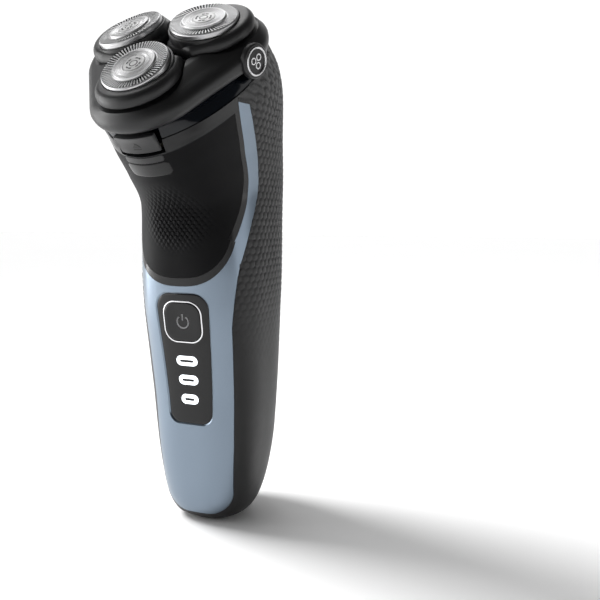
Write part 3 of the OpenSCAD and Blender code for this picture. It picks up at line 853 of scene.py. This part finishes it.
def build_controls():
    window = resampled(window_outline(), 0.9)
    plate = patch("window_plate", window, -0.28, 1.2)
    boolean(plate, prism("hole", offset(button_outline(), 0.72), front_view, 0, 60))
    for z, width in LIGHTS:
        boolean(plate, prism("hole", offset(light_outline(z, width), 0.05), front_view, 0, 60))
    finish_piece(plate, "handle", "gloss_black", nodes=["control_window"])
    chamfer = rim("window_chamfer", window, 0.04, 0.42, -0.34, 0.0, 1.2)
    finish_piece(chamfer, "handle", "blue_panel")
    button = resampled(button_outline(), 0.7)
    ring = rim("button_ring_trim", button, 0.22, 0.66, -0.02, -0.06, 1.4)
    bevel(ring, 0.08, 2, 50)
    finish_piece(ring, "handle", "silver_trim", nodes=["button_ring"])
    key = patch("power_key", button, 0.02, 1.6, dome=-0.35)
    parts = [finish_material(key, "gloss_black"), power_icon()]
    finish_piece(join("power_button_key", parts), "power_key", nodes=["power_button"])
    guides = []
    for z, width in LIGHTS:
        pill = resampled(light_outline(z, width), 0.5)
        guides.append(finish_material(patch("pill", pill, -0.12, 1.4), "light_guide"))
        slot_line = hull_outline([(x, z, 0.42) for x in (-width / 2 + 1.75, width / 2 - 1.75)])
        slot = patch("pill_slot", resampled(slot_line, 0.4), -0.05, 0.3)
        guides.append(finish_material(slot, "dark_slot"))
    finish_piece(join("battery_lights", guides), "handle", nodes=["light_guides"])


def finish_material(obj, material):
    obj.data.materials.clear()
    obj.data.materials.append(M[material])
    return obj


def stroke(points, width, lift, material, project=on_front, closed=False):
    """A thin raised line drawn on a surface through 2D points."""
    pts = [Vector(p) for p in points]
    left, right = [], []
    for i, p in enumerate(pts):
        if closed:
            way = pts[(i + 1) % len(pts)] - pts[i - 1]
        else:
            way = pts[min(i + 1, len(pts) - 1)] - pts[max(i - 1, 0)]
        side = Vector((-way.y, way.x)).normalized() * width / 2
        left.append(p + side)
        right.append(p - side)
    loops = [[project(q.x, q.y, level) for q in row] for row, level in
             ((left, lift - 0.3), (left, lift), (right, lift), (right, lift - 0.3))]
    count = len(pts)
    verts = [v for loop in loops for v in loop]
    faces = []
    for r in range(4):
        faces += band(r * count, (r + 1) % 4 * count, count, closed)
    if not closed:
        faces += [[0, count, 2 * count, 3 * count], [4 * count - 1, 3 * count - 1, 2 * count - 1, count - 1]]
    obj = new_object("stroke", verts, faces)
    fix_normals(obj)
    return finish_material(obj, material)


def power_icon():
    radius = 2.0
    turns = np.radians(np.linspace(38, 322, 40))
    arc = [(radius * math.sin(a), BUTTON_Z + radius * math.cos(a)) for a in turns]
    bar = [(0, BUTTON_Z + 0.5), (0, BUTTON_Z + 1.2), (0, BUTTON_Z + 2.5)]
    return join("icon", [stroke(arc, 0.42, -0.24, "print_white"), stroke(bar, 0.42, -0.24, "print_white")])


def build_neck_details():
    w, low, high, c = 6.9, -27.4, -22.9, 1.4
    pad = hull_outline([(x, n, c) for x in (-w + c, w - c) for n in (low + c, high - c)])
    tag = patch("tag_pad", resampled(pad, 0.8), 0.12, 0.7, project=on_neck)
    finish_piece(tag, "handle", "gloss_black")
    lip = hull_outline([(x, n, 0.6) for x in (-5.6, 5.6) for n in (-21.8, -21.1)])
    edge = patch("thumb_lip", resampled(lip, 0.7), 0.2, 1.0, project=on_neck)
    finish_piece(edge, "handle", "release_grey")


# ---------- Shaving head ----------


def build_housing():
    profile = [(-12.5, 13, 16), (-12.45, 13, 16.5), (-12.2, 13, 17), (-11.6, 13, 17.55), (-10.6, 13, 17.95),
               (-9.4, 13, 18.1), (-8.4, 13, 17.8), (-7.6, 13.2, 17), (-6.9, 14.6, 15.2), (-6.4, 16.5, 12.9),
               (-5.9, 18.3, 10.8), (-5.4, 20, 8.9), (-4.9, 22, 6.6), (-4.5, 23.7, 4.7), (-4.35, 24.2, 3.9)]
    housing = lobed_solid("head_housing_shell", profile, 0)
    for k in range(3):
        rings = [holder_ring(k, n, 0.6) for n in (-6.4, -1)]
        boolean(housing, stacked("holder_room", rings))
    boolean(housing, round_bar("middle", head_point(0, 0, -6.4), head_point(0, 0, -1), 14.0, 96))
    m = head_matrix()
    boolean(housing, lobed_solid("inside", [(-13.5, 13, 15.2), (-8, 13, 14.8)], 0.5))
    boolean(housing, block("tongue", (-6.8, 24.9, HINGE_N), (6.8, 27.4, HINGE_N + 4.2), m), "UNION")
    boolean(housing, block("web", (-6.8, 22.8, -12.3), (6.8, 27.4, -10.4), m), "UNION")
    boolean(housing, hinge_bar("knuckle", 6.8, KNUCKLE_R), "UNION")
    boss = [(0, 0), (4.9, 0), (4.9, 1.0), (4.75, 1.4), (4.5, 1.6), (0, 1.6)]
    boolean(housing, lathe("boss", boss, badge_matrix(), 64), "UNION")
    boolean(housing, plug("pocket", 4.1, 0.6, 5, badge_matrix(), 64))
    for k in range(3):
        boolean(housing, plug("hole", 11, -12, 2, cap_matrix(k)))
    boolean(housing, hinge_bar("pin", 20, HINGE_BORE_R))
    finish_piece(housing, "head", "head_charcoal", nodes=["head_housing"])


def badge_matrix():
    return (head_matrix() @ Matrix.Translation(BADGE_PLACE * MM)
            @ Matrix.Rotation(math.radians(-20), 4, "Z") @ Matrix.Rotation(math.pi / 2, 4, "Y"))


def build_badge():
    """A bright ring round a dark disc that carries three small rings."""
    m = badge_matrix()
    disc = lathe("disc", [(0, 0.6), (3.6, 0.6), (3.6, 1.45), (0, 1.6)], m, 72)
    profile = [(3.45, 0.6), (3.95, 0.6), (4.0, 0.8), (4.0, 1.75), (3.85, 1.9), (3.6, 1.9), (3.4, 1.75),
               (3.4, 0.8), (3.45, 0.6)]
    ring = lathe("ring", profile, m, 72)
    parts = [finish_material(disc, "head_charcoal"), finish_material(ring, "badge_bright")]
    for angle in LOBE_ANGLES:
        here = m @ Matrix.Translation(Vector((-1.3 * math.sin(angle), 1.3 * math.cos(angle), 0)) * MM)
        dot = lathe("dot", [(0.68, 1.4), (1.0, 1.4), (1.0, 1.72), (0.68, 1.72), (0.68, 1.4)], here, 40)
        parts.append(finish_material(dot, "badge_bright"))
    finish_piece(join("badge_disc", parts), "head", nodes=["side_badge"])


def holder_outline(grow):
    """Outline of one holder with its lobe along +X, as a convex outline round its circles."""
    corner_r, along = 1.4, 12.8
    inside = HOLDER_GAP / 2 + corner_r
    cx = along * 0.5 + inside * math.sqrt(0.75)
    cy = along * math.sqrt(0.75) - inside * 0.5
    shrink = max(0.0, -grow - corner_r + 0.1)
    circles = [(16, 0, 12.6 + grow), (cx + shrink, cy - shrink, max(0.1, corner_r + grow)),
               (cx + shrink, shrink - cy, max(0.1, corner_r + grow)),
               (2.6 + max(0.0, -grow - 0.5) * 1.3, 0, max(0.1, 0.6 + grow))]
    return hull_outline(circles)


def holder_ring(k, n, grow, count=144):
    """The holder's outline at one height, as points at even angles round its middle."""
    outline, middle = holder_outline(grow), Vector((13.5, 0))
    c, s = math.cos(LOBE_ANGLES[k]), math.sin(LOBE_ANGLES[k])
    ring = []
    for a in np.linspace(0, 2 * math.pi, count, endpoint=False):
        way = Vector((math.cos(a), math.sin(a)))
        x, y = middle + way * reach_of(outline, way, middle)
        ring.append(tuple(head_point(x * c - y * s, x * s + y * c, n)))
    return ring


def build_holder(k):
    levels = [(-5.4, -0.35), (-5.32, -0.12), (-5.1, 0), (-4.4, -0.02), (-3.9, -0.1), (-3.4, -0.28),
              (-3.0, -0.55), (-2.65, -0.9), (-2.4, -1.3), (-2.25, -1.75), (-2.2, -2.2)]
    holder = stacked(f"holder_{k + 1}_shell", [holder_ring(k, n, grow) for n, grow in levels])
    m = cap_matrix(k)
    boolean(holder, plug("sleeve", 10.3, -7.6, -5, m), "UNION")
    collar = [(0, -4.5), (10.95, -4.5), (10.95, -2.2), (10.85, -1.9), (10.6, -1.8), (0, -1.8)]
    boolean(holder, lathe("collar", collar, m), "UNION")
    boolean(holder, plug("pocket", 10.42, -3.9, 3, m))
    boolean(holder, plug("bore", 9.3, -9, 0, m))
    finish_piece(holder, f"holder_{k + 1}", "head_charcoal", nodes=[f"cap_holder_{k + 1}"])


def cap_height(r):
    """Height of the cap's top face at radius r: centre disc, ridged inner track, groove and slotted track."""
    points = [(0, 0.12), (3.2, 0.12), (3.4, -0.02), (3.6, -0.05), (6.15, 0.1), (6.35, 0.12), (6.55, -0.35),
              (6.8, -0.5), (8.0, -0.42), (9.3, -0.2), (9.8, -0.25), (10.1, -0.5), (10.2, -0.8)]
    ridge = 0.045 * math.cos(r * 2 * math.pi / 0.42) if 3.7 < r < 6.1 else 0
    return float(np.interp(r, [p[0] for p in points], [p[1] for p in points])) + ridge


def cap_ring():
    """The cap's steel ring: its top face with radial slots, its wall and its inside."""
    slots, slot_low, slot_high, slot_depth = 64, 6.9, 9.8, 0.55
    edge = 0.06
    radii = [3.5] + list(np.linspace(3.6, 6.3, 19))
    radii += [6.42, 6.55, 6.8, slot_low, slot_low + edge, 8.0, 9.0]
    radii += [slot_high - edge, slot_high, 10.0, 10.14, CAP_R]
    angles = [((i + part) * 2 * math.pi / slots, cut) for i in range(slots)
              for part, cut in ((0, False), (0.46, False), (0.48, True), (0.98, True))]
    count = len(angles)
    verts, faces = [], []
    for r in radii:
        slotted = slot_low + edge / 2 < r < slot_high - edge / 2
        verts += [(r * math.cos(a), r * math.sin(a), cap_height(r) - slot_depth * (cut and slotted))
                  for a, cut in angles]
    for r, h in ((CAP_R, -1.2), (CAP_R, -3.6), (CAP_R - 0.12, -3.85), (9.6, -3.9), (9.6, -1.4), (3.5, -1.5)):
        verts += [(r * math.cos(a), r * math.sin(a), h) for a, _ in angles]
    loops = len(verts) // count
    for i in range(loops):
        faces += band(i * count, (i + 1) % loops * count, count)
    ring = new_object("cap", verts, faces)
    ring.data.materials.append(M["cap_steel"])
    ring.data.materials.append(M["slot_shadow"])
    for i in range(radii.index(slot_low), radii.index(slot_high)):
        for j in range(count):
            if angles[j][1] and angles[(j + 1) % count][1]:
                ring.data.polygons[i * count + j].material_index = 1
    fix_normals(ring)
    return ring


def arc_points(radius, angles):
    return [(radius * math.cos(a), radius * math.sin(a)) for a in angles]


def build_cap(k):
    profile = [(0, 0.12), (0.55, 0.12), (0.95, 0.12), (1.0, -0.05), (1.3, -0.05), (1.35, 0.1), (3.0, 0.12),
               (3.3, 0.02), (3.5, -0.2), (3.5, -1.4), (0, -1.4)]
    disc = finish_material(lathe("disc", profile, Matrix.Identity(4)), "cap_disc")

    def flat(x, y, h):
        return (x, y, h)

    marks = []
    for i in range(8):
        middle = i * math.pi / 4 + (0.12 if i % 2 else -0.12)
        arc = arc_points(2.15, middle + np.linspace(-0.2, 0.2, 7))
        marks.append(stroke(arc, 0.42, 0.16, "print_dark", flat))
    circle = arc_points(1.15, np.linspace(0, 2 * math.pi, 40, endpoint=False))
    marks.append(stroke(circle, 0.26, 0.02, "print_dark", flat, closed=True))
    cap = join(f"cap_{k + 1}_foil", [cap_ring(), disc] + marks)
    layer = cap.data.uv_layers.new(name="UVMap")
    for loop in cap.data.loops:
        co = cap.data.vertices[loop.vertex_index].co
        layer.data[loop.index].uv = (co.x / MM * 0.05, co.y / MM * 0.05)
    cap.data.transform(cap_matrix(k))
    finish_piece(cap, f"holder_{k + 1}", nodes=[f"shaving_cap_{k + 1}"], angle=12)


def build_release():
    half, bottom, height, rows, cols = 6.5, -19.3, 5.8, 16, 40

    def place(x, n, lift):
        up = min(max((n - bottom) / height, 0), 1)
        across = min(max((x + half) / (2 * half), 0), 1)
        dish = 0.45 * math.sin(math.pi * up) * math.sqrt(math.sin(math.pi * across))
        return tuple(head_point(x, -13 - math.sqrt((16.5 + 0.9 * up) ** 2 - x * x) + dish - lift, n))

    loops = []
    for j in range(rows):
        n = bottom + height * j / (rows - 1)
        xs = [-half + 2 * half * i / (cols - 1) for i in range(cols)]
        loops.append([place(x, n, 0) for x in xs] + [tuple(head_point(-x, -27.5, n)) for x in xs])
    pad = bevel(stacked("release_pad", loops), 0.4, 3, 50)
    bar = stroke([(-1.2, -17.7), (0, -17.7), (1.2, -17.7)], 0.35, 0.06, "print_dark", place)
    mark = prism("mark", [(-1.3, -17.1), (1.3, -17.1), (0, -15.5)], place, -0.3, 0.06)
    stem = block("stem", (-3, -27.6, -17.6), (3, -25.8, -15.2), head_matrix())
    parts = [finish_material(pad, "release_grey"), bar, finish_material(mark, "print_dark"),
             finish_material(stem, "release_grey")]
    finish_piece(join("release_key_pad", parts), "release_key", nodes=["release_button"])


def build_deck():
    """Glossy deck under the head, flowing from the top of the handle to the head's own outline."""
    edge, _ = section(station_at(KNOTS[-1]), 0, 240)
    spots = [(HEAD_CENTRE - Vector(p)) * -1 for p in edge]
    c, s = math.cos(HEAD_TILT), math.sin(HEAD_TILT)
    low = [Vector((q.x, q.y * c + q.z * s)) for q in spots]
    high = lobe_outline(12.6, 15.6, 0.3, 60, 40)
    rings = []
    for n, mix, grow in ((-16.44, 0, -0.5), (-16.3, 0.02, -0.35), (-15.4, 0.25, -0.3), (-14.4, 0.6, -0.3),
                         (-13.3, 0.95, -0.3), (-13.0, 1, -0.6)):
        ring = []
        for p in low:
            way = p.normalized()
            far = (1 - mix) * p.length + mix * reach_of(high, way) + grow
            ring.append(tuple(head_point(way.x * far, way.y * far, n)))
        rings.append(ring)
    deck = stacked("deck_shell", rings)
    m = head_matrix()
    for side in (-1, 1):
        ear = block("ear", (side * 9 - 2, 20, -16.4), (side * 9 + 2, HINGE_V, -13), m)
        boolean(deck, ear, "UNION")
        boolean(deck, hinge_bar("barrel", 2, KNUCKLE_R, side * 9), "UNION")
    boolean(deck, block("swing", (-6.95, 22, -17), (6.95, 40, -12), m))
    boolean(deck, hinge_bar("pin", 20, HINGE_BORE_R))
    boolean(deck, block("notch", (-7.2, -40, -18), (7.2, -23.6, -10), m))
    for angle in LOBE_ANGLES:
        boolean(deck, drive_bar("bore", angle, -18, -10, 2.0))
        boolean(deck, drive_bar("seat", angle, -14.6, -10, 3.25))
    finish_piece(deck, "handle", "deck_gloss", nodes=["drive_deck"])


def paint_cad_nodes():
    """Gives each CAD node that is still shown the material of its slot."""
    slot_of = {s["node"]: s["material_slot"] for s in frame["record"]["subparts"]}
    for name, obj in frame["nodes"].items():
        obj.data.materials.clear()
        obj.data.materials.append(M[slot_of[name]])
        for polygon in obj.data.polygons:
            polygon.use_smooth = True
        obj.data.set_sharp_from_angle(angle=math.radians(30))


# ---------- Stage ----------


def build_stage():
    size = 3.0
    corners = [(-size, -size, 0), (size, -size, 0), (size, size, 0), (-size, size, 0)]
    floor = new_object("floor", corners, [[0, 1, 2, 3]], 1)
    s = Shader("floor_white", (0.93, 0.93, 0.93), 0.55)
    s.vary_color(s.noise(3, 2), 0.01)
    floor.data.materials.append(s.mat)
    floor.location.z = -0.0002
    floor.visible_diffuse = False  # the bright floor would lighten the dark plastic above it
    bpy.context.scene.world = studio_world()


def studio_world():
    """A dim room with a bright white wall behind the object."""
    world = bpy.data.worlds.new("studio")
    world.use_nodes = True
    tree = world.node_tree
    background = tree.nodes["Background"]
    coords = tree.nodes.new("ShaderNodeTexCoord")
    toward = tree.nodes.new("ShaderNodeVectorMath")
    toward.operation = "DOT_PRODUCT"
    toward.inputs[1].default_value = (-0.375, 0.927, 0)
    tree.links.new(coords.outputs["Generated"], toward.inputs[0])
    wall = tree.nodes.new("ShaderNodeMapRange")
    wall.interpolation_type = "SMOOTHSTEP"
    wall.inputs["From Min"].default_value = 0.45
    wall.inputs["From Max"].default_value = 0.8
    wall.inputs["To Min"].default_value = 0.09
    wall.inputs["To Max"].default_value = 1.1
    tree.links.new(toward.outputs["Value"], wall.inputs["Value"])
    tree.links.new(wall.outputs["Result"], background.inputs["Strength"])
    background.inputs["Color"].default_value = (1, 1, 1, 1)
    return world


def area_light(name, place, target, size, power):
    data = bpy.data.lights.new(name, "AREA")
    data.shape = "RECTANGLE"
    data.size, data.size_y = size
    data.energy = power
    obj = bpy.data.objects.new(name, data)
    obj.location = place
    obj.rotation_euler = (Vector(target) - Vector(place)).to_track_quat("-Z", "Y").to_euler()
    bpy.context.scene.collection.objects.link(obj)


def build_lights():
    centre = (0, -0.005, 0.09)
    area_light("left_softbox", (-0.5, -0.12, 0.12), centre, (0.34, 0.5), 2.4)
    area_light("front_softbox", (-0.42, -0.45, 0.14), centre, (0.24, 0.6), 0.7)
    area_light("right_softbox", (0.62, 0.1, 0.16), centre, (0.4, 0.5), 0.6)
    area_light("top_softbox", (-0.2, 0.12, 0.62), (0, -0.02, 0.15), (0.4, 0.3), 1.1)
    sun = bpy.data.lights.new("sun", "SUN")
    sun.energy = 4.0
    sun.angle = math.radians(24)
    lamp = bpy.data.objects.new("sun", sun)
    lamp.visible_glossy = False
    lamp.rotation_euler = Vector((1, -0.12, -0.95)).to_track_quat("-Z", "Y").to_euler()
    bpy.context.scene.collection.objects.link(lamp)


def build_camera():
    azimuth, pitch = math.radians(22), math.radians(7)
    level = math.cos(pitch)
    forward = Vector((-math.sin(azimuth) * level, math.cos(azimuth) * level, -math.sin(pitch)))
    data = bpy.data.cameras.new("camera")
    data.lens = 42
    data.sensor_width = 36
    cam = bpy.data.objects.new("camera", data)
    cam.location = (0.11595, -0.20555, 0.10229)
    cam.rotation_euler = forward.to_track_quat("-Z", "Y").to_euler()
    bpy.context.scene.collection.objects.link(cam)
    bpy.context.scene.camera = cam


build_camera()
build_stage()
build_lights()
paint_cad_nodes()
build_rear_shell()
build_front_panel()
build_bezel()
build_neck_grip()
build_controls()
build_neck_details()
build_housing()
build_badge()
for index in range(3):
    build_holder(index)
    build_cap(index)
build_release()
build_deck()
bpy.context.scene.view_settings.view_transform = "Standard"
